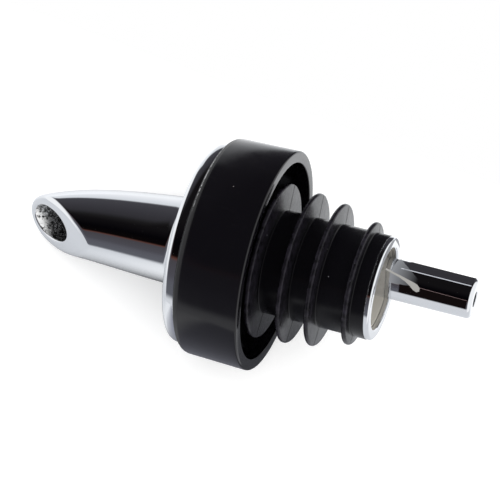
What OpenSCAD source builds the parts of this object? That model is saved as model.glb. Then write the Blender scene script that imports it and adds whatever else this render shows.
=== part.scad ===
// Liquor pour spout: a chrome nozzle with a slanted mouth on a hooded collar,
// a finned rubber cork below it, and a vent chamber with a ball check that
// reaches into the bottle. The pour axis is Z and the nozzle points up.
// The origin is on that axis, on the seat that the bottle's lip meets.
// The mouth faces -Y.

/* [Collar] */
// Outer radius of the collar at its open rim
collar_rim_r = 17.1; // [16.9:0.1:19]
// Outer radius of the collar just below its top edge
collar_top_r = 16.85; // [16.6:0.05:16.85]
// Thickness of the collar above the lip seat
collar_floor_h = 2.7; // [2.2:0.1:3.5]
// Depth of the hood, from the lip seat down to the rim
hood_depth = 7.7; // [5:0.1:8.5]
// Inner radius of the hood at its rim
hood_r = 15.35; // [14.8:0.05:15.5]
// Radius of the collar's rounded top edge
collar_edge_r = 1.2; // [0.6:0.1:1.6]
// Radius of the rim's rounded outer edge
rim_edge_r = 0.35; // [0.2:0.05:0.8]

/* [Flange] */
// Outer radius of the chrome flange
flange_r = 15.6; // [14:0.1:16.2]
// Height of the flange's rounded side
flange_side_h = 2.1; // [1.6:0.1:2.6]
// How far the domed top stands above the side
flange_dome_h = 0.7; // [0.3:0.1:1]

/* [Nozzle] */
// Radius of the nozzle's body where it leaves its foot
nozzle_base_r = 6.8; // [6.5:0.05:6.95]
// Radius of the fillet where the nozzle meets the flange
foot_fillet_r = 1.8; // [1:0.1:2]
// Height of the mouth's centre above the lip seat
mouth_z = 27.8; // [26.5:0.1:28.5]
// How far the mouth's centre stands in front of the pour axis
mouth_forward = 4.5; // [4.3:0.1:4.8]
// Angle between the mouth's face and the pour axis
mouth_angle = 25; // [22:1:30]
// Radius of the passage at the mouth
mouth_r = 2.8; // [2.4:0.05:3]
// Lean of the passage at the mouth, away from the pour axis
mouth_lean = 24.5; // [22:0.5:27]

/* [Shank] */
// Inner radius of the liner tube that carries the liquor
shank_in_r = 6.05; // [6.05:0.05:6.2]
// Outer radius of the liner tube
shank_out_r = 6.6; // [6.5:0.05:6.65]
// Depth of the liner tube's lower end below the lip seat
shank_depth = 24; // [23:0.1:24]

/* [Cork] */
// Radius of the cork's core between its fins
core_r = 8; // [7.9:0.05:8.4]
// Depth of the cork's lower end below the lip seat
cork_depth = 24.1; // [24.1:0.1:24.6]
// Radius of the top fin
fin_1_r = 12; // [11:0.1:12.6]
// Radius of the second fin
fin_2_r = 11.6; // [10.5:0.1:12]
// Radius of the third fin
fin_3_r = 11; // [10:0.1:11.4]
// Radius of the bottom fin
fin_4_r = 9.45; // [9:0.05:10]
// Thickness of a fin at its rounded edge
fin_edge_h = 0.7; // [0.5:0.05:0.9]
// Thickness of a fin where it leaves the core
fin_root_h = 1.5; // [1.1:0.1:1.8]

/* [Mouth ring] */
// Outer radius of the ring's lip
ring_out_r = 7.95; // [7.7:0.05:8]
// Inner radius of the ring's lip
ring_in_r = 6.3; // [6.2:0.05:6.4]
// Thickness of the lip along the pour axis
ring_lip_h = 0.8; // [0.8:0.05:1.2]
// Radius of the lip's rounded outer edge
ring_edge_r = 0.38; // [0.2:0.01:0.38]

/* [Vent] */
// Outer radius of the vent chamber at its upper end
chamber_r = 3.17; // [3:0.01:3.17]
// Outer radius of the vent chamber at its lower end
chamber_tip_r = 3.08; // [2.95:0.01:3.1]
// Inner radius of the vent chamber
chamber_in_r = 2.4; // [2.3:0.05:2.45]
// Depth of the vent chamber's lower end below the lip seat
chamber_depth = 38.1; // [34:0.1:42]
// Distance of the vent chamber behind the pour axis
chamber_back = 2.87; // [2.8:0.01:2.87]
// Radius of the small hole in the chamber's lower end
vent_hole_r = 1.2; // [0.9:0.05:1.4]
// Radius of the steel ball
ball_r = 2; // [1.8:0.05:2.1]
// Depth of the cross pin that stops the ball
stop_depth = 21.5; // [18:0.1:22]

/* [Hidden] */
$fn = 72;
eps = 0.01;
running_gap = 0.05;

chrome = "#d6d9de";
black_plastic = "#26262a";
black_rubber = "#1d1d1f";
cast_zinc = "#a39d92";
steel = "#b9bcc2";

// Levels along the pour axis
rim_z = -hood_depth;
collar_top_z = collar_floor_h;
flange_side_z = collar_top_z + flange_side_h;
flange_top_z = flange_side_z + flange_dome_h;
dome_flat_r = 10;
cork_end_z = -cork_depth;
shank_end_z = -shank_depth;
chamber_end_z = -chamber_depth;

// The cork
cork_bore_r = shank_out_r + running_gap;
fin_z = [-7.25, -12, -16.2, -21.5];
fin_r = [fin_1_r, fin_2_r, fin_3_r, fin_4_r];

// The mouth ring and its sleeve inside the cork
sleeve_r = 7.2;
sleeve_gap = 0.04;
sleeve_h = 3.8;

// The nozzle's body is a stack of circles: they shrink upwards, and they
// move forward so that the front of the body stays nearly upright.
body_low_z = flange_top_z + 0.4;
body_high_z = 33;
body_rings = 20;
body_sides = 48;
lean_start_z = 8.5;
lean_length = 22.5;
foot_step_h = 0.3;
spigot_z = -3;
passage_low_r = 4.75;
passage_high_r = 3.6;
passage_high_z = 18;
passage_lean = 2;
mouth_passage_h = 11.5;
mouth_passage_out = 12;

// The vent
bracket_z = -6;
bracket_h = 2.6;
bracket_pad_r = 4.1;
bracket_ring_in_r = 5.1;
chamber_top_z = -4;
chamber_end_wall = 1.3;
chamber_edge = 0.7;
cap_h = 3;
cap_rim_h = 0.8;
pipe_r = 1.2;
pipe_in_r = 0.8;
pipe_back = 2;
pipe_top_z = 11;
pin_r = 0.5;
ball_rest_z = chamber_end_z + chamber_end_wall + seat_rise(ball_r, vent_hole_r);

// Height of a ball's centre above the rim of the hole that it rests on
function seat_rise(ball, hole) = sqrt(ball * ball - hole * hole);

// Forward shift and radius of the nozzle's body at height z
function lean_t(z) = (z - lean_start_z) / lean_length;
function body_shift(z) = 1 + 1.7 * lean_t(z) + 2.75 * pow(lean_t(z), 4);
function body_r(z) = nozzle_base_r - 1.65 * lean_t(z) - 0.95 * pow(lean_t(z), 2)
                     - 0.25 * pow(lean_t(z), 4);
function body_z(i) = body_low_z + (body_high_z - body_low_z) * i / body_rings;
function ring_point(z, k) = [body_r(z) * cos(360 * k / body_sides),
                             body_r(z) * sin(360 * k / body_sides) - body_shift(z), z];

// The circle that rounds the outer top corner of a turned part's profile
module corner(r, z, edge) {
    translate([r - edge, z - edge]) circle(r = edge, $fn = 48);
}

module nozzle_solid() {
    points = [for (i = [0 : body_rings]) for (k = [0 : body_sides - 1]) ring_point(body_z(i), k)];
    low = [for (k = [0 : body_sides - 1]) k];
    high = [for (k = [body_sides - 1 : -1 : 0]) body_rings * body_sides + k];
    walls = [for (i = [0 : body_rings - 1]) for (k = [0 : body_sides - 1]) for (half = [0, 1])
        let (a = i * body_sides + k,
             b = i * body_sides + (k + 1) % body_sides,
             c = a + body_sides,
             d = b + body_sides)
        half == 0 ? [a, c, b] : [b, c, d]];
    polyhedron(points = points, faces = concat([low], walls, [high]), convexity = 4);
}

// Half of the foot: a low step, with a hollow fillet up to the body above it
module foot_profile() {
    inner_r = body_r(body_low_z) - 0.1;
    difference() {
        translate([0, flange_top_z]) square([inner_r + foot_fillet_r, foot_step_h + foot_fillet_r]);
        translate([inner_r + foot_fillet_r, flange_top_z + foot_step_h + foot_fillet_r])
            circle(r = foot_fillet_r, $fn = 48);
    }
}

// Everything in front of and above the mouth's slanted face
module mouth_cut() {
    translate([0, -mouth_forward, mouth_z])
        rotate([-mouth_angle, 0, 0])
            translate([-20, -40, -40]) cube([40, 40, 80]);
}

// A turned tube from z_low to z_high
module tube(r_out, r_in, z_low, z_high) {
    difference() {
        translate([0, 0, z_low]) cylinder(r = r_out, h = z_high - z_low);
        translate([0, 0, z_low - 1]) cylinder(r = r_in, h = z_high - z_low + 2);
    }
}

module nozzle() {
    color(chrome) difference() {
        union() {
            difference() {
                nozzle_solid();
                mouth_cut();
            }
            translate([0, -body_shift(body_low_z), 0]) rotate_extrude() foot_profile();
            translate([0, 0, spigot_z]) cylinder(r = shank_in_r, h = flange_top_z + foot_step_h - spigot_z);
        }
        // the straight passage, which widens downwards to the spigot
        translate([0, 0, spigot_z]) rotate([passage_lean, 0, 0])
            translate([0, 0, -1])
                cylinder(r1 = passage_low_r, r2 = passage_high_r, h = passage_high_z - spigot_z + 1);
        // the leaning passage that ends in the mouth
        translate([0, -mouth_forward, mouth_z]) rotate([mouth_lean, 0, 0])
            translate([0, 0, -mouth_passage_h])
                cylinder(r = mouth_r, h = mouth_passage_h + mouth_passage_out);
    }
}

module flange() {
    hole_r = shank_out_r;
    round_r = flange_side_h * 0.45;
    color(chrome) difference() {
        rotate_extrude() union() {
            translate([0, collar_top_z]) square([flange_r - round_r, flange_side_h]);
            translate([0, collar_top_z + 0.15]) square([flange_r, flange_side_h - round_r - 0.15]);
            translate([0, collar_top_z]) square([flange_r - 0.15, 1]);
            corner(flange_r, flange_side_z, round_r);
            polygon([[0, flange_side_z - eps], [flange_r - round_r, flange_side_z - eps],
                     [dome_flat_r + 1.5, flange_top_z - 0.12], [dome_flat_r, flange_top_z],
                     [0, flange_top_z]]);
        }
        translate([0, 0, collar_top_z - 1]) cylinder(r = hole_r, h = 6);
    }
}

module collar() {
    color(black_plastic) difference() {
        rotate_extrude() union() {
            polygon([[0, rim_z], [collar_rim_r - rim_edge_r, rim_z], [collar_rim_r, rim_z + rim_edge_r],
                     [collar_top_r, collar_top_z - collar_edge_r],
                     [collar_top_r - collar_edge_r, collar_top_z], [0, collar_top_z]]);
            corner(collar_top_r, collar_top_z, collar_edge_r);
            translate([collar_rim_r - rim_edge_r, rim_z + rim_edge_r]) circle(r = rim_edge_r, $fn = 36);
        }
        // the hood that covers the bottle's lip
        translate([0, 0, rim_z - 1]) cylinder(r1 = hood_r + 0.03, r2 = hood_r - 0.25, h = hood_depth + 1);
        translate([0, 0, -1]) cylinder(r = shank_out_r + running_gap, h = collar_floor_h + 2);
    }
}

// One fin: thicker at the core, with a rounded edge
module fin_profile(z, r) {
    edge = fin_edge_h / 2;
    polygon([[core_r - 1, z - fin_root_h / 2], [r - edge, z - edge],
             [r - edge, z + edge], [core_r - 1, z + fin_root_h / 2]]);
    translate([r - edge, z]) circle(r = edge, $fn = 32);
}

module cork() {
    color(black_rubber) difference() {
        rotate_extrude() union() {
            translate([0, cork_end_z]) square([core_r, cork_depth]);
            for (i = [0 : 3]) fin_profile(fin_z[i], fin_r[i]);
        }
        translate([0, 0, cork_end_z - 1]) cylinder(r = cork_bore_r, h = cork_depth + 2);
        translate([0, 0, cork_end_z - 1]) cylinder(r = sleeve_r, h = sleeve_h + 1);
    }
}

module shank() {
    color(cast_zinc) tube(shank_out_r, shank_in_r, shank_end_z, flange_top_z);
}

module mouth_ring() {
    lip_end_z = cork_end_z - ring_lip_h;
    sleeve_out_r = sleeve_r - sleeve_gap;
    sleeve_top_z = cork_end_z + sleeve_h - 0.1;
    rounding = [for (a = [0 : 22.5 : 90]) [ring_out_r - ring_edge_r * (1 - cos(a)),
                                           lip_end_z + ring_edge_r * (1 - sin(a))]];
    color(chrome) rotate_extrude() polygon(concat(
        [[ring_in_r, lip_end_z], [ring_in_r, cork_end_z], [cork_bore_r, cork_end_z],
         [cork_bore_r, sleeve_top_z], [sleeve_out_r, sleeve_top_z], [sleeve_out_r, cork_end_z],
         [ring_out_r, cork_end_z]], rounding));
}

module vent_bracket() {
    color(cast_zinc) difference() {
        intersection() {
            translate([0, 0, bracket_z]) cylinder(r = shank_in_r, h = bracket_h);
            union() {
                tube(shank_in_r + 1, bracket_ring_in_r, bracket_z, bracket_z + bracket_h);
                translate([0, chamber_back, bracket_z]) cylinder(r = bracket_pad_r, h = bracket_h);
            }
        }
        translate([0, chamber_back, bracket_z - 1]) cylinder(r = chamber_r, h = bracket_h + 2);
    }
}

module vent_chamber() {
    color(chrome) translate([0, chamber_back, 0]) difference() {
        union() {
            rotate_extrude() polygon([[0, chamber_end_z], [chamber_tip_r - chamber_edge, chamber_end_z],
                [chamber_tip_r, chamber_end_z + chamber_edge], [chamber_r, bracket_z - 1],
                [chamber_r, bracket_z], [0, bracket_z]]);
            translate([0, 0, bracket_z - eps]) cylinder(r = chamber_r, h = chamber_top_z - bracket_z + eps);
        }
        translate([0, 0, chamber_end_z + chamber_end_wall]) cylinder(r = chamber_in_r, h = chamber_depth);
        translate([0, 0, chamber_end_z - 1]) cylinder(r = vent_hole_r, h = chamber_end_wall + 2);
        translate([0, 0, -stop_depth]) rotate([0, 90, 0])
            cylinder(r = pin_r, h = 4 * chamber_r, center = true, $fn = 32);
    }
}

module vent_cap() {
    color(cast_zinc) difference() {
        translate([0, chamber_back, 0]) union() {
            translate([0, 0, chamber_top_z - cap_h]) cylinder(r = chamber_in_r, h = cap_h);
            translate([0, 0, chamber_top_z]) cylinder(r = chamber_r - 0.3, h = cap_rim_h);
        }
        translate([0, pipe_back, chamber_top_z - cap_h - 1]) cylinder(r = pipe_r, h = cap_h + 4, $fn = 48);
    }
}

module vent_pipe() {
    color(steel) translate([0, pipe_back, 0])
        tube(pipe_r, pipe_in_r, chamber_top_z - cap_h, pipe_top_z);
}

module vent_ball() {
    color(steel) translate([0, chamber_back, ball_rest_z]) sphere(r = ball_r);
}

module ball_stop_pin() {
    color(steel) translate([0, chamber_back, -stop_depth]) rotate([0, 90, 0])
        cylinder(r = pin_r, h = 2 * chamber_r - 0.4, center = true, $fn = 32);
}

nozzle();
flange();
collar();
cork();
shank();
mouth_ring();
vent_bracket();
vent_chamber();
vent_cap();
vent_pipe();
vent_ball();
ball_stop_pin();
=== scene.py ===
"""The liquor pour spout's looks: meshes, materials, stage, light and camera, round the CAD frame."""
import math

import bmesh
import bpy
from mathutils import Matrix, Vector


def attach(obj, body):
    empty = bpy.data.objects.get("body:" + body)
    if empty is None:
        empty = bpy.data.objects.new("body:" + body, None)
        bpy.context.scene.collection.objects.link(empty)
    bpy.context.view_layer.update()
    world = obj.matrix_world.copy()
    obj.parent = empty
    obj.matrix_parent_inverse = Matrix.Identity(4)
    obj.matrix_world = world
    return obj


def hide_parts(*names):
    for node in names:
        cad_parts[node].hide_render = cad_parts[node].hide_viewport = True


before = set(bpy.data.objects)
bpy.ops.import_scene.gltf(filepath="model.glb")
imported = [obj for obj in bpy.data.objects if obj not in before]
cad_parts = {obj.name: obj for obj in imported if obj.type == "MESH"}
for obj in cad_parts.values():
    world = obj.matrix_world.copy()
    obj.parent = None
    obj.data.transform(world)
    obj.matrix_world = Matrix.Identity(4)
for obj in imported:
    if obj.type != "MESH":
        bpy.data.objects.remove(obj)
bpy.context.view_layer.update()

MM = 0.001
SIDES = 224

# Bodies of the frame
CORK = "cork_body"
COLLAR = "collar_body"
NOZZLE = "nozzle_body"

# Levels along the pour axis, in millimetres from the lip seat
RIM_Z = -7.7
COLLAR_TOP_Z = 2.7
FLANGE_SIDE_Z = 4.8
FLANGE_TOP_Z = 5.5
BODY_LOW_Z = 5.9
SPIGOT_END_Z = -3
CORK_END_Z = -24.1
SLEEVE_TOP_Z = CORK_END_Z + 3.8
RING_END_Z = -24.9
CHAMBER_END_Z = -38.1

# Radii, in millimetres
SHANK_R = 6.6
SPIGOT_R = 6.03
SPIGOT_BORE_R = 4.75
FLANGE_R = 15.6
HOOD_BORE_R = 15.32
RIM_R = 17.1
RING_R = 7.93
RING_BORE_R = 6.32
SLEEVE_R = 7.2
SLEEVE_BORE_R = 6.67
VENT_HOLE_R = 1.17

# How far the vent chamber's axis is behind the pour axis, in millimetres
CHAMBER_BACK = 2.87

# The mouth of the nozzle
MOUTH_Z = 27.8
MOUTH_FORWARD = 4.5
MOUTH_ANGLE = math.radians(25)
MOUTH_LEAN = math.radians(24.5)
MOUTH_R = 2.8

# The plane of the rubber mould's seam
SEAM_AZIMUTH = math.radians(40)

# The camera and the table that the object lies on
VIEW_AZIMUTH = math.radians(39.6)
VIEW_ELEVATION = math.radians(-14.94)
VIEW_ROLL = math.radians(-75.72)
VIEW_DISTANCE = 303.15
VIEW_AIM = (0.9, 0.0, -3.45)
VIEW_LENS = 144
TABLE_TILT = math.radians(20.6)
TABLE_AZIMUTH = math.radians(56.6)

# The cards round the vent chamber that only reflections see, which paint reflections onto it, in
# millimetres
CARD_R = 6.5
CARD_LOW_Z = -37.4
CARD_HIGH_Z = -26.6

# Light, in linear values
DOME = 1.25
# The table's glow that glossy rays see is a painted reflection. It is plain far from the object, has
# painted light on the side nearer the wall and by the flange, painted shadows by the cork and the collar,
# and painted shade where the object covers it.
FLOOR_PAINTED_LIGHT_NEAR_WALL = (1.36, 1.38, 1.41)
FLOOR_GLOW_FAR = (0.93, 0.955, 1.0)
FLOOR_PAINTED_SHADOW_BY_CORK = (0.17, 0.175, 0.2)
FLOOR_PAINTED_SHADOW_BY_COLLAR = (0.40, 0.41, 0.48)
FLOOR_PAINTED_LIGHT_BY_FLANGE = (1.18, 1.2, 1.23)
FLOOR_SHADED = (0.12, 0.125, 0.135)
FLOOR_LIFT = 0.3


# ---------------------------------------------------------------- shapes

def arc(corner, before, after, radius, steps):
    """Points of the fillet at a corner of an outline, from the side of before to the side of after."""
    a = (before - corner).normalized()
    b = (after - corner).normalized()
    half = a.angle(b) / 2
    reach = radius / math.tan(half)
    centre = corner + (a + b).normalized() * (radius / math.sin(half))
    start = corner + a * reach - centre
    end = corner + b * reach - centre
    sweep = start.angle(end)
    points = []
    for i in range(steps + 1):
        t = i / steps
        turned = start * math.sin((1 - t) * sweep) + end * math.sin(t * sweep)
        points.append(centre + turned / math.sin(sweep))
    return points


def outline(corners, steps=8):
    """A closed outline from (r, z, fillet radius) corners."""
    points = []
    count = len(corners)
    for i in range(count):
        r, z, radius = corners[i]
        here = Vector((r, z))
        if radius <= 0:
            points.append(here)
            continue
        before = Vector(corners[i - 1][:2])
        after = Vector(corners[(i + 1) % count][:2])
        points += arc(here, before, after, radius, steps)
    return points


def add_object(mesh_data, name, material):
    """Turns a bmesh into an object of the scene."""
    mesh = bpy.data.meshes.new(name)
    mesh_data.to_mesh(mesh)
    mesh_data.free()
    mesh.materials.append(material)
    made = bpy.data.objects.new(name, mesh)
    bpy.context.collection.objects.link(made)
    return made


def add_part(mesh_data, name, body, material, sharp_angle=35.0):
    """Turns a bmesh into a smooth-shaded object that rides on a body."""
    bmesh.ops.recalc_face_normals(mesh_data, faces=mesh_data.faces)
    for face in mesh_data.faces:
        face.smooth = True
    limit = math.radians(sharp_angle)
    for edge in mesh_data.edges:
        if len(edge.link_faces) == 2 and edge.calc_face_angle(0) > limit:
            edge.smooth = False
    made = add_object(mesh_data, name, material)
    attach(made, body)
    return made


def bridge(mesh_data, rings):
    """Quads between neighbouring rings of vertices, and between the last ring and the first."""
    for i, low in enumerate(rings):
        high = rings[(i + 1) % len(rings)]
        for k in range(len(low)):
            j = (k + 1) % len(low)
            mesh_data.faces.new((low[k], low[j], high[j], high[k]))


def lathe(name, corners, body, material, back=0.0, steps=8):
    """A ring turned about a line parallel to the pour axis, from a closed outline in millimetres."""
    mesh_data = bmesh.new()
    rings = []
    for point in outline(corners, steps):
        ring = []
        for k in range(SIDES):
            a = 2 * math.pi * k / SIDES
            ring.append(mesh_data.verts.new((point.x * math.cos(a) * MM,
                                             (point.x * math.sin(a) + back) * MM, point.y * MM)))
        rings.append(ring)
    bridge(mesh_data, rings)
    return add_part(mesh_data, name, body, material)


def lean(z):
    """How far up the leaning part of the nozzle's body a height is, from 0 to 1."""
    return (z - 8.5) / 22.5


def body_centre(z):
    t = lean(z)
    return -(1 + 1.7 * t + 2.75 * t ** 4)


def body_radius(z):
    t = lean(z)
    return 6.8 - 1.65 * t - 0.95 * t ** 2 - 0.25 * t ** 4


def body_point(angle, z):
    r = body_radius(z)
    return Vector((r * math.cos(angle), r * math.sin(angle) + body_centre(z), z))


def mouth_height(y):
    """Height of the mouth's slanted face at a distance y behind the pour axis."""
    return MOUTH_Z + (y + MOUTH_FORWARD) / math.tan(MOUTH_ANGLE)


def body_top(angle):
    """Where the body's surface meets the mouth's face, on one line up the body."""
    low, high = 10.0, 34.0
    for _ in range(40):
        middle = (low + high) / 2
        if middle < mouth_height(body_point(angle, middle).y):
            low = middle
        else:
            high = middle
    return (low + high) / 2


def passage_point(angle, along):
    """A point of the leaning passage, at a distance along its axis from the mouth's centre."""
    axis = Vector((0, -math.sin(MOUTH_LEAN), math.cos(MOUTH_LEAN)))
    side = Vector((0, math.cos(MOUTH_LEAN), math.sin(MOUTH_LEAN)))
    centre = Vector((0, -MOUTH_FORWARD, MOUTH_Z))
    return (centre + axis * along
            + (Vector((1, 0, 0)) * math.cos(angle) + side * math.sin(angle)) * MOUTH_R)


def passage_top(angle):
    """Distance along the passage at which it meets the mouth's face."""
    axis = Vector((0, -math.sin(MOUTH_LEAN), math.cos(MOUTH_LEAN)))
    normal = Vector((0, -math.cos(MOUTH_ANGLE), math.sin(MOUTH_ANGLE)))
    offset = passage_point(angle, 0) - Vector((0, -MOUTH_FORWARD, MOUTH_Z))
    return -offset.dot(normal) / axis.dot(normal)


def quarter(corner, start, end, t):
    """A point of the quarter ellipse that rounds a corner between start and end, for t from 0 to 1."""
    a = t * math.pi / 2
    return corner + (start - corner) * (1 - math.sin(a)) + (end - corner) * (1 - math.cos(a))


def circle_ring(radius, z, centre_y, angles):
    return [Vector((radius * math.cos(a), radius * math.sin(a) + centre_y, z)) for a in angles]


def smooth_step(t):
    return t * t * (3 - 2 * t)


def nozzle_rings(angles):
    """The nozzle's rings of points: spigot, foot, body, lip, passage, and back to the spigot."""
    foot_z = FLANGE_TOP_Z
    step_z = foot_z + 0.3
    fillet = 1.8
    base_z = step_z + fillet
    base_y = body_centre(BODY_LOW_Z)
    foot_r = body_radius(BODY_LOW_Z) - 0.1 + fillet
    rings = [circle_ring(SPIGOT_BORE_R, SPIGOT_END_Z + 0.2, 0, angles),
             circle_ring(SPIGOT_BORE_R + 0.2, SPIGOT_END_Z, 0, angles),
             circle_ring(SPIGOT_R - 0.18, SPIGOT_END_Z, 0, angles),
             circle_ring(SPIGOT_R, SPIGOT_END_Z + 0.2, 0, angles),
             circle_ring(SPIGOT_R, foot_z + 0.01, 0, angles),
             circle_ring(foot_r - 0.1, foot_z + 0.01, base_y, angles),
             circle_ring(foot_r, foot_z + 0.1, base_y, angles),
             circle_ring(foot_r, step_z - 0.06, base_y, angles)]
    fillet_steps = 10
    base = [body_point(a, base_z) for a in angles]
    foot = circle_ring(foot_r - 0.06, step_z, base_y, angles)
    corner = circle_ring(body_radius(BODY_LOW_Z), step_z, base_y, angles)
    for i in range(fillet_steps + 1):
        t = i / fillet_steps
        rings.append([quarter(corner[k], foot[k], base[k], t) for k in range(len(angles))])
    lip = [lip_curve(a) for a in angles]
    body_steps = 44
    for i in range(1, body_steps):
        t = i / body_steps
        rings.append([body_point(a, base_z + (lip[k][0].z - base_z) * t) for k, a in enumerate(angles)])
    for i in range(len(lip[0])):
        rings.append([lip[k][i] for k in range(len(angles))])
    inside = len(rings) - 4
    bottom = -11.0
    for i in range(1, 15):
        t = i / 14
        rings.append([passage_point(a, (passage_top(a) - 0.6) * (1 - t) + bottom * t) for a in angles])
    high = [passage_point(a, bottom) for a in angles]
    low = circle_ring(4.1, 9.5, -0.43, angles)
    for i in range(1, 11):
        t = smooth_step(i / 10)
        rings.append([high[k].lerp(low[k], t) for k in range(len(angles))])
    rings.append(circle_ring(4.45, 3, -0.2, angles))
    return rings, inside


def lip_curve(angle):
    """From the body's surface over the mouth's rounded rim into the passage."""
    outer = body_point(angle, body_top(angle))
    inner = passage_point(angle, passage_top(angle))
    width = (inner - outer).length
    outer_round = min(0.5 * width, 0.8)
    inner_round = min(0.3 * width, 0.4)
    across = (inner - outer) / width
    start = body_point(angle, outer.z - outer_round * 1.3)
    end = passage_point(angle, passage_top(angle) - 0.6)
    crest_out = outer + across * outer_round
    crest_in = inner - across * inner_round
    steps = 9
    points = [quarter(outer, start, crest_out, i / steps) for i in range(steps + 1)]
    for i in range(1, 4):
        points.append(crest_out.lerp(crest_in, i / 4))
    points += [quarter(inner, crest_in, end, i / 7) for i in range(8)]
    return points


def make_nozzle(chrome, cast):
    count = 256
    angles = [2 * math.pi * k / count for k in range(count)]
    mesh_data = bmesh.new()
    points, inside = nozzle_rings(angles)
    rings = [[mesh_data.verts.new(p * MM) for p in ring] for ring in points]
    bridge(mesh_data, rings)
    made = add_part(mesh_data, "nozzle_shell", NOZZLE, chrome, 50)
    made.data.materials.append(cast)
    for face in made.data.polygons:
        if min(face.vertices) >= inside * count:
            face.material_index = 1
    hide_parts("nozzle")


def make_flange(chrome):
    made = lathe("flange_disc", [
        (SHANK_R, COLLAR_TOP_Z, 0), (FLANGE_R, COLLAR_TOP_Z, 0.28), (FLANGE_R, FLANGE_SIDE_Z, 0.9),
        (FLANGE_R - 1, FLANGE_SIDE_Z + 0.02, 0), (11.5, FLANGE_TOP_Z - 0.12, 2), (8, FLANGE_TOP_Z, 0),
        (SHANK_R, FLANGE_TOP_Z, 0)], NOZZLE, chrome)
    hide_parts("flange")


def make_collar(plastic):
    made = lathe("collar_hood", [
        (SHANK_R + 0.05, 0, 0.15), (14.95, 0, 0.6), (HOOD_BORE_R, RIM_Z, 0.14), (RIM_R, RIM_Z, 0.3),
        (16.85, COLLAR_TOP_Z, 1.15), (SHANK_R + 0.05, COLLAR_TOP_Z, 0)], COLLAR, plastic)
    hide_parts("collar")


def make_cork(rubber):
    core = 8.0
    corners = [(SHANK_R + 0.05, SLEEVE_TOP_Z, 0), (SLEEVE_R, SLEEVE_TOP_Z, 0),
               (SLEEVE_R, CORK_END_Z, 0), (core, CORK_END_Z, 0.12)]
    for z, r in ((-21.5, 9.45), (-16.2, 11.0), (-12.0, 11.6), (-7.25, 12.0)):
        corners += [(core, z - 0.5, 0.2), (r, z - 0.35, 0.32), (r, z + 0.35, 0.32), (core, z + 0.5, 0.2)]
    corners += [(core, 0, 0.12), (SHANK_R + 0.05, 0, 0)]
    made = lathe("cork_sleeve", corners, CORK, rubber, steps=6)
    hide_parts("cork")


def make_ring(chrome, dull):
    made = lathe("mouth_ring_lip", [
        (RING_BORE_R, RING_END_Z, 0.25), (RING_R, RING_END_Z, 0.38), (RING_R, CORK_END_Z, 0.05),
        (SLEEVE_R, CORK_END_Z, 0), (SLEEVE_R, SLEEVE_TOP_Z, 0.15), (SLEEVE_BORE_R, SLEEVE_TOP_Z, 0.1),
        (SLEEVE_BORE_R, CORK_END_Z, 0.05), (RING_BORE_R, CORK_END_Z, 0.05)], CORK, chrome, steps=10)
    made.data.materials.append(dull)
    for face in made.data.polygons:
        out = math.hypot(face.center.x, face.center.y)
        if out < 6.9 * MM and face.center.z > (CORK_END_Z - 0.5) * MM:
            face.material_index = 1
    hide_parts("mouth_ring")


def make_chamber(chrome):
    made = lathe("vent_chamber_tube", [
        (VENT_HOLE_R, CHAMBER_END_Z, 0.15), (3.08, CHAMBER_END_Z, 0.68), (3.17, -7, 0), (3.17, -4, 0.1),
        (2.41, -4, 0.1), (2.39, CHAMBER_END_Z + 1.3, 0.2), (VENT_HOLE_R, CHAMBER_END_Z + 1.3, 0.1)],
        NOZZLE, chrome, back=CHAMBER_BACK, steps=10)
    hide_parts("vent_chamber")


# ---------------------------------------------------------------- materials

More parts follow.
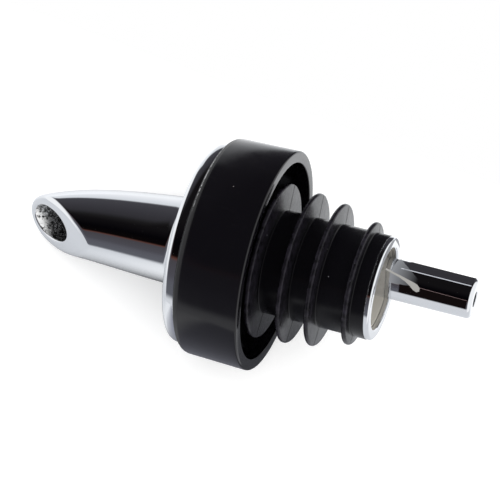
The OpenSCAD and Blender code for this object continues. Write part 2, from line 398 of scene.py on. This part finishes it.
class Nodes:
    """A material's node tree, with short calls for the nodes used here."""

    def __init__(self, name):
        self.material = bpy.data.materials.new(name)
        self.material.use_nodes = True
        self.tree = self.material.node_tree
        self.shader = self.tree.nodes["Principled BSDF"]
        self.place = self.tree.nodes.new("ShaderNodeTexCoord").outputs["Object"]

    def link(self, source, target):
        self.tree.links.new(source, target)

    def noise(self, scale, detail=4.0, rough=0.5, stretch=None):
        node = self.tree.nodes.new("ShaderNodeTexNoise")
        node.inputs["Scale"].default_value = scale
        node.inputs["Detail"].default_value = detail
        node.inputs["Roughness"].default_value = rough
        place = self.place
        if stretch:
            mapping = self.tree.nodes.new("ShaderNodeMapping")
            mapping.inputs["Scale"].default_value = stretch
            self.link(place, mapping.inputs["Vector"])
            place = mapping.outputs["Vector"]
        self.link(place, node.inputs["Vector"])
        return node.outputs["Fac"]

    def dots(self, scale):
        node = self.tree.nodes.new("ShaderNodeTexVoronoi")
        node.inputs["Scale"].default_value = scale
        self.link(self.place, node.inputs["Vector"])
        return node.outputs["Distance"]

    def along(self, direction):
        """Distance along a direction from the lip seat's centre."""
        node = self.tree.nodes.new("ShaderNodeVectorMath")
        node.operation = "DOT_PRODUCT"
        node.inputs[1].default_value = direction
        self.link(self.place, node.inputs[0])
        return node.outputs["Value"]

    def distance_from_axis(self):
        """Distance from the pour axis."""
        flat = self.tree.nodes.new("ShaderNodeVectorMath")
        flat.operation = "MULTIPLY"
        flat.inputs[1].default_value = (1, 1, 0)
        self.link(self.place, flat.inputs[0])
        size = self.tree.nodes.new("ShaderNodeVectorMath")
        size.operation = "LENGTH"
        self.link(flat.outputs["Vector"], size.inputs[0])
        return size.outputs["Value"]

    def distance_from_plane(self, azimuth):
        """Distance from the upright plane through the pour axis at an azimuth."""
        size = self.tree.nodes.new("ShaderNodeMath")
        size.operation = "ABSOLUTE"
        self.link(self.along((-math.sin(azimuth), math.cos(azimuth), 0)), size.inputs[0])
        return size.outputs[0]

    def remap(self, value, low, high, to_low=0.0, to_high=1.0):
        node = self.tree.nodes.new("ShaderNodeMapRange")
        node.inputs["From Min"].default_value = low
        node.inputs["From Max"].default_value = high
        node.inputs["To Min"].default_value = to_low
        node.inputs["To Max"].default_value = to_high
        self.link(value, node.inputs["Value"])
        return node.outputs["Result"]

    def times(self, a, b):
        node = self.tree.nodes.new("ShaderNodeMath")
        node.operation = "MULTIPLY"
        self.link(a, node.inputs[0])
        self.link(b, node.inputs[1])
        return node.outputs[0]

    def mix(self, factor, low, high):
        node = self.tree.nodes.new("ShaderNodeMix")
        node.data_type = "RGBA"
        for key, colour in (("A", low), ("B", high)):
            if hasattr(colour, "links"):
                self.link(colour, node.inputs[key])
            else:
                node.inputs[key].default_value = (*colour, 1)
        self.link(factor, node.inputs["Factor"])
        return node.outputs["Result"]

    def ramp(self, value, low, high, stops):
        """A colour for a value between low and high."""
        node = self.tree.nodes.new("ShaderNodeValToRGB")
        while len(node.color_ramp.elements) < len(stops):
            node.color_ramp.elements.new(0.5)
        for element, (at, colour) in zip(node.color_ramp.elements, stops):
            element.position = (at - low) / (high - low)
            element.color = (*colour, 1)
        self.link(self.remap(value, low, high), node.inputs["Fac"])
        return node.outputs["Color"]

    def mix_value(self, factor, low, high):
        node = self.tree.nodes.new("ShaderNodeMix")
        self.link(factor, node.inputs["Factor"])
        self.link(low, node.inputs["A"])
        node.inputs["B"].default_value = high
        return node.outputs["Result"]

    def bump(self, height, distance, strength=1.0, before=None):
        node = self.tree.nodes.new("ShaderNodeBump")
        node.inputs["Distance"].default_value = distance
        node.inputs["Strength"].default_value = strength
        self.link(height, node.inputs["Height"])
        if before:
            self.link(before, node.inputs["Normal"])
        return node.outputs["Normal"]

    def set(self, **values):
        for key, value in values.items():
            self.shader.inputs[key.replace("_", " ")].default_value = value

    def feed(self, key, value):
        self.link(value, self.shader.inputs[key])


def chrome_material(name, tint, roughness, waviness):
    """Bright plate: faint long waves of the casting below it, fine pits and a few specks of dust."""
    n = Nodes(name)
    n.set(Metallic=1.0)
    cloud = n.noise(260, 3, 0.5)
    specks = n.remap(n.dots(900), 0.0, 0.05, 1.0, 0.0)
    few = n.remap(n.noise(420, 1, 0.5), 0.60, 0.64)
    dust = n.times(specks, few)
    clean = n.mix(cloud, tuple(c * 0.96 for c in tint), tint)
    n.feed("Base Color", n.mix(dust, clean, (0.35, 0.33, 0.32)))
    n.feed("Roughness", n.remap(n.noise(700, 5, 0.6), 0.3, 0.7, roughness, roughness * 2.2))
    waves = n.bump(n.noise(110, 1, 0.4), 0.00006, waviness)
    n.feed("Normal", n.bump(n.noise(2600, 3, 0.6), 0.000004, 0.35, waves))
    return n.material


def cast_material(name, tint, depth):
    """Rough cast zinc, as inside the nozzle: lumpy, pitted and dull, with painted light: pale, matt grains
    on the wall near the tip, where light falls into the mouth.
    """
    n = Nodes(name)
    n.set(Metallic=1.0)
    lumps = n.noise(1900, 7, 0.75)
    pits = n.noise(5200, 4, 0.7)
    dark = tuple(c * 0.05 for c in tint)
    # Painted light: a patch of pale matt grains on the lit wall near the nozzle's tip.
    painted_light_near_tip = n.remap(n.along((-0.5, 0, 0.85)), 0.0250, 0.0262)
    pale = n.times(painted_light_near_tip, n.remap(lumps, 0.42, 0.47))
    rough_cast = n.mix(n.remap(lumps, 0.44, 0.66), dark, tint)
    n.feed("Base Color", n.mix(pale, rough_cast, (1.0, 1.0, 1.0)))
    n.feed("Metallic", n.remap(pale, 0.0, 1.0, 1.0, 0.0))
    n.feed("Roughness", n.remap(pits, 0.3, 0.7, 0.12, 0.36))
    coarse = n.bump(lumps, depth, 0.7)
    n.feed("Normal", n.bump(pits, depth * 0.25, 1.0, coarse))
    return n.material


def plastic_material(name):
    """Moulded black plastic: satin, with fine scuffs round the rim, specks of dust and a painted
    highlight: a sparkling pale line on the top edge's rounding, on one side only.
    """
    n = Nodes(name)
    n.set(IOR=1.39)
    scuffs = n.remap(n.noise(900, 6, 0.7, (1, 1, 0.2)), 0.60, 0.75)
    specks = n.remap(n.dots(420), 0.0, 0.045, 1.0, 0.0)
    few = n.remap(n.noise(230, 1, 0.5), 0.58, 0.62)
    dust = n.times(specks, few)
    worn = n.mix(scuffs, (0.0038, 0.0034, 0.0048), (0.008, 0.0075, 0.009))
    height = n.along((0, 0, 1))
    # Painted highlight: a sparkling pale line round the top edge's rounding, on one side of the collar.
    edge = n.remap(height, 0.0015, 0.0022)
    painted_glint_sparkle = n.remap(n.noise(2600, 2, 0.6), 0.47, 0.53)
    above = n.remap(height, 0.00222, 0.00226)
    below = n.remap(height, 0.00236, 0.0024, 1.0, 0.0)
    painted_glint_line = n.times(n.times(above, below), painted_glint_sparkle)
    side = n.remap(n.along((0.985, -0.17, 0)), 0.0148, 0.0156)
    dusty = n.mix(dust, worn, (0.30, 0.28, 0.27))
    n.feed("Base Color", n.mix(n.times(painted_glint_line, side), dusty, (0.42, 0.42, 0.43)))
    satin = n.remap(n.noise(500, 6, 0.6), 0.3, 0.7, 0.11, 0.17)
    n.feed("Roughness", n.mix_value(edge, satin, 0.55))
    soft = n.bump(n.noise(160, 2, 0.5), 0.00004, 0.5)
    n.feed("Normal", n.bump(n.noise(3000, 4, 0.6), 0.000002, 0.4, soft))
    return n.material


def rubber_material(name):
    """Black rubber: a soft sheen, a fine grain, a mould seam down each side and a little pale dust."""
    n = Nodes(name)
    n.set(IOR=1.24)
    seam = n.remap(n.distance_from_plane(SEAM_AZIMUTH), 0.00007, 0.00014, 1.0, 0.0)
    on_fins = n.remap(n.distance_from_axis(), 0.0083, 0.0095)
    bloom = n.times(on_fins, n.remap(n.noise(900, 6, 0.7), 0.4, 0.68))
    specks = n.remap(n.dots(620), 0.0, 0.06, 1.0, 0.0)
    few = n.remap(n.noise(250, 1, 0.5), 0.54, 0.58)
    dust = n.times(specks, few)
    skin = n.mix(bloom, (0.0032, 0.003, 0.0042), (0.021, 0.0185, 0.026))
    n.feed("Base Color", n.mix(dust, n.mix(seam, skin, (0.001, 0.001, 0.001)), (0.26, 0.26, 0.28)))
    sheen = n.remap(n.noise(800, 5, 0.6), 0.3, 0.7, 0.15, 0.26)
    n.feed("Roughness", n.mix_value(seam, sheen, 0.75))
    ridge = n.bump(seam, 0.00012, 1.0)
    n.feed("Normal", n.bump(n.noise(2400, 4, 0.6), 0.000006, 0.5, ridge))
    return n.material


def dull_metal_material(name, tint, roughness):
    """Turned or drawn metal of the inner pieces: fine rings, dull in the bore and brighter outside."""
    n = Nodes(name)
    outside = n.remap(n.distance_from_axis(), 0.00625, 0.0064)
    rings = n.noise(900, 3, 0.6, (0.1, 0.1, 4))
    dulled = n.mix(n.noise(300, 4, 0.6), tuple(c * 0.8 for c in tint), tint)
    n.feed("Base Color", n.mix(outside, dulled, (0.6, 0.59, 0.57)))
    n.feed("Metallic", n.remap(outside, 0.0, 1.0, 0.15, 1.0))
    n.feed("Roughness", n.remap(rings, 0.3, 0.7, roughness, roughness * 1.6))
    n.feed("Normal", n.bump(rings, 0.000008, 0.5))
    return n.material


def dress(node, material):
    """Gives a CAD node that stays in view its material."""
    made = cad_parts[node]
    if not made.material_slots:
        made.data.materials.append(material)
    for slot in made.material_slots:
        slot.material = material


# ---------------------------------------------------------------- stage, light and camera

def table_normal():
    return Vector((math.cos(TABLE_TILT) * math.sin(TABLE_AZIMUTH),
                   -math.cos(TABLE_TILT) * math.cos(TABLE_AZIMUTH),
                   -math.sin(TABLE_TILT)))


def table_point():
    """The lowest point of the collar's rim, which lies on the table.

    The object slopes down towards its nozzle, so the collar's top edge dips about 3 mm under the table."""
    up = table_normal()
    out = Vector((-up.x, -up.y, 0)).normalized()
    return out * (RIM_R * MM) + Vector((0, 0, RIM_Z * MM))


def table_frame():
    """A matrix at the table's contact point: Z up from the table, X along the object."""
    up = table_normal()
    length = (Vector((0, 0, 1)) - up * up.z).normalized()
    turn = Matrix((length, up.cross(length), up)).transposed().to_4x4()
    return Matrix.Translation(table_point() - up * (0.05 * MM)) @ turn


def floor_material():
    """A pale table: bright to the camera and clear from below. Glossy rays see a glow instead of the lit
    table, with painted shade near the object, painted shadows by the cork and the collar, and painted
    light on the side nearer the wall and by the flange.
    """
    n = Nodes("table_pale")
    new = n.tree.nodes.new
    path = new("ShaderNodeLightPath")
    grain = n.noise(120, 4, 0.5)
    n.feed("Base Color", n.mix(grain, (0.90, 0.90, 0.90), (0.92, 0.92, 0.92)))
    n.set(Roughness=0.9)
    n.shader.inputs["Specular IOR Level"].default_value = 0.0
    n.shader.inputs["Emission Color"].default_value = (1, 1, 1, 1)
    n.feed("Emission Strength", n.remap(path.outputs["Is Camera Ray"], 0, 1, 0, FLOOR_LIFT))
    shade = new("ShaderNodeAmbientOcclusion")
    shade.samples = 8
    shade.inputs["Distance"].default_value = 0.07
    # Glossy rays see this glow instead of the lit table: a painted reflection.
    glow = new("ShaderNodeEmission")
    across = n.along((0, 1, 0))
    reach = n.along((1, -0.2, 0))
    # Painted light: the glow is brighter on the side nearer the wall.
    lit = n.mix(n.remap(across, 0.02, -0.02), FLOOR_GLOW_FAR, FLOOR_PAINTED_LIGHT_NEAR_WALL)
    # Painted shadows by the cork and the collar and painted light by the flange, placed along the object.
    painted_light_and_shadow_zones = n.ramp(reach, -0.02, 0.04, [
        (-0.0125, FLOOR_GLOW_FAR), (-0.010, FLOOR_PAINTED_SHADOW_BY_CORK), (-0.003, FLOOR_PAINTED_SHADOW_BY_CORK),
        (0.001, FLOOR_PAINTED_SHADOW_BY_COLLAR), (0.0115, FLOOR_PAINTED_SHADOW_BY_COLLAR), (0.0168, FLOOR_PAINTED_LIGHT_BY_FLANGE),
        (0.021, FLOOR_PAINTED_LIGHT_BY_FLANGE), (0.036, FLOOR_GLOW_FAR)])
    lit = n.mix(n.remap(across, -0.002, 0.008), lit, painted_light_and_shadow_zones)
    # Painted shade where ambient occlusion finds the object close.
    painted_shade_amount = n.remap(shade.outputs["AO"], 0.88, 0.38)
    n.link(n.mix(painted_shade_amount, lit, FLOOR_SHADED), glow.inputs["Color"])
    reflected = new("ShaderNodeMixShader")
    n.link(path.outputs["Is Glossy Ray"], reflected.inputs[0])
    n.link(n.shader.outputs[0], reflected.inputs[1])
    n.link(glow.outputs[0], reflected.inputs[2])
    clear = new("ShaderNodeBsdfTransparent")
    side = new("ShaderNodeNewGeometry").outputs["Backfacing"]
    blend = new("ShaderNodeMixShader")
    n.link(side, blend.inputs[0])
    n.link(reflected.outputs[0], blend.inputs[1])
    n.link(clear.outputs[0], blend.inputs[2])
    n.link(blend.outputs[0], n.tree.nodes["Material Output"].inputs["Surface"])
    return n.material


def make_floor():
    """A table top, only as wide as its reflections in the flange and the collar."""
    mesh_data = bmesh.new()
    bmesh.ops.create_grid(mesh_data, x_segments=1, y_segments=1, size=1)
    bmesh.ops.scale(mesh_data, vec=(0.12, 0.065, 1), verts=mesh_data.verts)
    bmesh.ops.translate(mesh_data, vec=(0, 0.035, 0), verts=mesh_data.verts)
    made = add_object(mesh_data, "table", floor_material())
    made.matrix_world = table_frame()


class Sky:
    """The world's node tree, with short calls for the nodes used here."""

    def __init__(self):
        world = bpy.data.worlds.new("studio")
        bpy.context.scene.world = world
        world.use_nodes = True
        world.cycles.sampling_method = "NONE"
        self.tree = world.node_tree
        self.tree.nodes.clear()
        self.place = self.tree.nodes.new("ShaderNodeTexCoord").outputs["Generated"]

    def along(self, direction):
        node = self.tree.nodes.new("ShaderNodeVectorMath")
        node.operation = "DOT_PRODUCT"
        node.inputs[1].default_value = direction
        self.tree.links.new(self.place, node.inputs[0])
        return node.outputs["Value"]

    def math(self, operation, *values):
        node = self.tree.nodes.new("ShaderNodeMath")
        node.operation = operation
        for value, target in zip(values, node.inputs):
            if hasattr(value, "links"):
                self.tree.links.new(value, target)
            else:
                target.default_value = value
        return node.outputs[0]

    def ramp(self, degrees, stops):
        """A colour for an angle from -180 to 180 degrees."""
        node = self.tree.nodes.new("ShaderNodeValToRGB")
        while len(node.color_ramp.elements) < len(stops):
            node.color_ramp.elements.new(0.5)
        for element, (at, colour) in zip(node.color_ramp.elements, stops):
            element.position = (at + 180) / 360
            element.color = (*colour, 1)
        place = self.math("DIVIDE", self.math("ADD", degrees, 180.0), 360.0)
        self.tree.links.new(place, node.inputs["Fac"])
        return node.outputs["Color"]

    def background(self, colour, strength):
        node = self.tree.nodes.new("ShaderNodeBackground")
        node.inputs["Strength"].default_value = strength
        if hasattr(colour, "links"):
            self.tree.links.new(colour, node.inputs["Color"])
        else:
            node.inputs["Color"].default_value = (*colour, 1)
        return node.outputs[0]

    def plain(self, colour):
        node = self.tree.nodes.new("ShaderNodeRGB")
        node.outputs[0].default_value = (*colour, 1)
        return node.outputs[0]

    def choose(self, factor, low, high):
        node = self.tree.nodes.new("ShaderNodeMixShader")
        self.tree.links.new(factor, node.inputs[0])
        self.tree.links.new(low, node.inputs[1])
        self.tree.links.new(high, node.inputs[2])
        return node.outputs[0]

    def pick(self, factor, low, high):
        node = self.tree.nodes.new("ShaderNodeMix")
        node.data_type = "RGBA"
        self.tree.links.new(factor, node.inputs["Factor"])
        self.tree.links.new(low, node.inputs["A"])
        self.tree.links.new(high, node.inputs["B"])
        return node.outputs["Result"]


def studio_room(sky):
    """What glossy surfaces see: a dark room on one side, with a paler strip and a white wall beyond it.

    The angle runs round the pour axis from the side that the room's darkest part is on. The room's
    edges lean, so each angle is shifted by the height of the direction above the seat's plane. Steeply
    up or down the pour axis the room is bright."""
    start = VIEW_AZIMUTH - math.pi / 2
    front = sky.along((math.cos(start), math.sin(start), 0))
    side = sky.along((-math.sin(start), math.cos(start), 0))
    angle = sky.math("DEGREES", sky.math("ARCTAN2", side, front))
    height = sky.math("DEGREES", sky.math("ARCSINE", sky.along((0, 0, 1))))
    rise = sky.math("SUBTRACT", height, 22.0)
    above = sky.math("MINIMUM", sky.math("MAXIMUM", rise, 0.0), 15.0)
    below = sky.math("MAXIMUM", sky.math("MINIMUM", rise, 0.0), -8.0)
    low_angle = sky.math("SUBTRACT", angle, sky.math("MULTIPLY", above, 2.2))
    high_angle = sky.math("ADD", angle, sky.math("MULTIPLY", below, 7.2))
    low_side = sky.ramp(low_angle, [
        (-180, (1.0, 1.02, 1.05)), (-75, (0.94, 0.96, 1.0)), (-68, (0.16, 0.165, 0.19)),
        (-52, (0.14, 0.14, 0.165)), (-44, (0.105, 0.102, 0.12)), (-27, (0.088, 0.082, 0.094)),
        (-24.5, (0.155, 0.06, 0.045)), (-22, (0.0045, 0.003, 0.003)), (-6, (0.0022, 0.0018, 0.003)),
        (18, (0.009, 0.008, 0.009)), (180, (0.018, 0.018, 0.02))])
    high_side = sky.ramp(high_angle, [
        (-180, (0.009, 0.008, 0.009)), (18, (0.009, 0.008, 0.009)), (28, (0.018, 0.017, 0.018)),
        (40, (0.045, 0.043, 0.05)), (60, (0.06, 0.058, 0.068)), (88, (0.082, 0.08, 0.092)),
        (92, (0.15, 0.15, 0.165)), (96, (0.98, 1.01, 1.05)), (110, (1.12, 1.14, 1.18)),
        (140, (1.42, 1.43, 1.44)), (180, (1.5, 1.5, 1.5))])
    walls = sky.pick(sky.math("GREATER_THAN", angle, 18.0), low_side, high_side)
    ends = sky.ramp(height, [
        (-180, (1.0, 1.0, 1.0)), (-29, (1.0, 1.0, 1.0)), (-21, (0.0, 0.0, 0.0)),
        (37, (0.0, 0.0, 0.0)), (45, (1.0, 1.0, 1.0)), (180, (1.0, 1.0, 1.0))])
    return sky.pick(ends, walls, sky.plain((1.32, 1.33, 1.34)))


def make_world():
    """White to the camera, an even dome to matt surfaces, and the studio's room to glossy ones."""
    sky = Sky()
    path = sky.tree.nodes.new("ShaderNodeLightPath")
    out = sky.tree.nodes.new("ShaderNodeOutputWorld")
    dome = sky.background((1.0, 1.0, 1.0), DOME)
    shiny = sky.background(studio_room(sky), 1.0)
    seen = sky.background((1.0, 1.0, 1.0), 1.0)
    mixed = sky.choose(path.outputs["Is Glossy Ray"], dome, shiny)
    sky.tree.links.new(sky.choose(path.outputs["Is Camera Ray"], mixed, seen), out.inputs["Surface"])


def make_card(name, radius, rows, colour, fade=None):
    """A curved card round the vent chamber that only reflections see: a painted reflection that glows for
    glossy rays alone.

    Each row is (z, from, to) azimuth. A card with a fade is clear at its first level and solid at its
    second."""
    mesh_data = bmesh.new()
    steps = 24
    lines = []
    for z, start, end in rows:
        line = []
        for i in range(steps + 1):
            a = math.radians(start + (end - start) * i / steps)
            line.append(mesh_data.verts.new((radius * math.cos(a) * MM,
                                             (radius * math.sin(a) + CHAMBER_BACK) * MM, z * MM)))
        lines.append(line)
    for low, high in zip(lines, lines[1:]):
        for i in range(steps):
            mesh_data.faces.new((low[i], low[i + 1], high[i + 1], high[i]))
    n = Nodes(name)
    n.tree.nodes.remove(n.shader)
    glow = n.tree.nodes.new("ShaderNodeEmission")
    glow.inputs["Color"].default_value = (*colour, 1)
    seen = glow.outputs[0]
    if fade:
        clear = n.tree.nodes.new("ShaderNodeBsdfTransparent")
        blend = n.tree.nodes.new("ShaderNodeMixShader")
        n.link(n.remap(n.along((0, 0, 1)), fade[0] * MM, fade[1] * MM), blend.inputs[0])
        n.link(clear.outputs[0], blend.inputs[1])
        n.link(seen, blend.inputs[2])
        seen = blend.outputs[0]
    n.link(seen, n.tree.nodes["Material Output"].inputs["Surface"])
    made = add_object(mesh_data, name, n.material)
    made.visible_camera = False
    made.visible_diffuse = False
    made.visible_shadow = False
    made.visible_transmission = False


def make_camera():
    back = Vector((math.sin(VIEW_AZIMUTH) * math.cos(VIEW_ELEVATION),
                   -math.cos(VIEW_AZIMUTH) * math.cos(VIEW_ELEVATION), math.sin(VIEW_ELEVATION)))
    level = Vector((math.cos(VIEW_AZIMUTH), math.sin(VIEW_AZIMUTH), 0))
    rise = back.cross(level)
    right = level * math.cos(VIEW_ROLL) + rise * math.sin(VIEW_ROLL)
    up = back.cross(right)
    turn = Matrix((right, up, back)).transposed().to_4x4()
    data = bpy.data.cameras.new("camera")
    data.lens = VIEW_LENS
    data.sensor_width = 36
    data.clip_start = 0.01
    data.clip_end = 20
    made = bpy.data.objects.new("camera", data)
    bpy.context.collection.objects.link(made)
    made.matrix_world = Matrix.Translation((Vector(VIEW_AIM) + back * VIEW_DISTANCE) * MM) @ turn
    bpy.context.scene.camera = made


# ---------------------------------------------------------------- the scene

make_camera()
bpy.context.scene.view_settings.view_transform = "Standard"

bright = chrome_material("chrome_bright", (0.66, 0.672, 0.69), 0.03, 0.25)
tube_chrome = chrome_material("chrome_tube", (0.66, 0.668, 0.685), 0.035, 0.15)
cast = cast_material("zinc_cast", (0.66, 0.67, 0.68), 0.0003)
plastic = plastic_material("plastic_black")
rubber = rubber_material("rubber_black")
dull = dull_metal_material("zinc_dull", (0.95, 0.91, 0.83), 0.3)
steel = dull_metal_material("steel_drawn", (0.62, 0.61, 0.60), 0.2)

make_nozzle(bright, cast)
make_flange(bright)
make_collar(plastic)
make_cork(rubber)
make_ring(bright, dull)
make_chamber(tube_chrome)
for node in ("shank", "vent_bracket", "vent_cap"):
    dress(node, dull)
for node in ("vent_pipe", "vent_ball", "ball_stop_pin"):
    dress(node, steel)

make_floor()
make_world()
# Painted reflections on the vent chamber and the mouth ring: a dark band, a dark low band, a bright line,
# a reddish line, a pale haze and a teardrop-shaped highlight.
make_card("card_dark", CARD_R, [(CARD_LOW_Z, 8.6, 104), (CARD_HIGH_Z, 8.6, 104)], (0.05, 0.048, 0.055))
make_card("card_bright", CARD_R, [(CARD_LOW_Z, 1.4, 6.0), (-26.0, 1.4, 6.0)], (0.9, 0.92, 0.98))
make_card("card_low", CARD_R, [(CARD_LOW_Z, -104, -66), (CARD_HIGH_Z, -104, -66)], (0.009, 0.006, 0.006))
make_card("card_line", CARD_R, [(CARD_LOW_Z, -65.5, -64.5), (-29.5, -62.0, -60.5)], (0.42, 0.3, 0.29))
make_card("card_haze", 6.6, [(-29.2, -58, -28), (-27.8, -64, 0), (-26.3, -70, 35), (-24.9, -70, 90)],
          (0.4, 0.41, 0.43), (-29.2, -25.0))
make_card("card_drop", 6.3, [
    (-24.0, -22.8, -13.5), (-25.4, -32, -24.3), (-26.4, -39.6, -29.7), (-27.4, -50.3, -36.6),
    (-28.2, -62.5, -41.9), (-28.8, -76.3, -45.7), (-29.4, -82.5, -51.8), (-29.8, -76.3, -62.5)],
    (0.62, 0.60, 0.56))
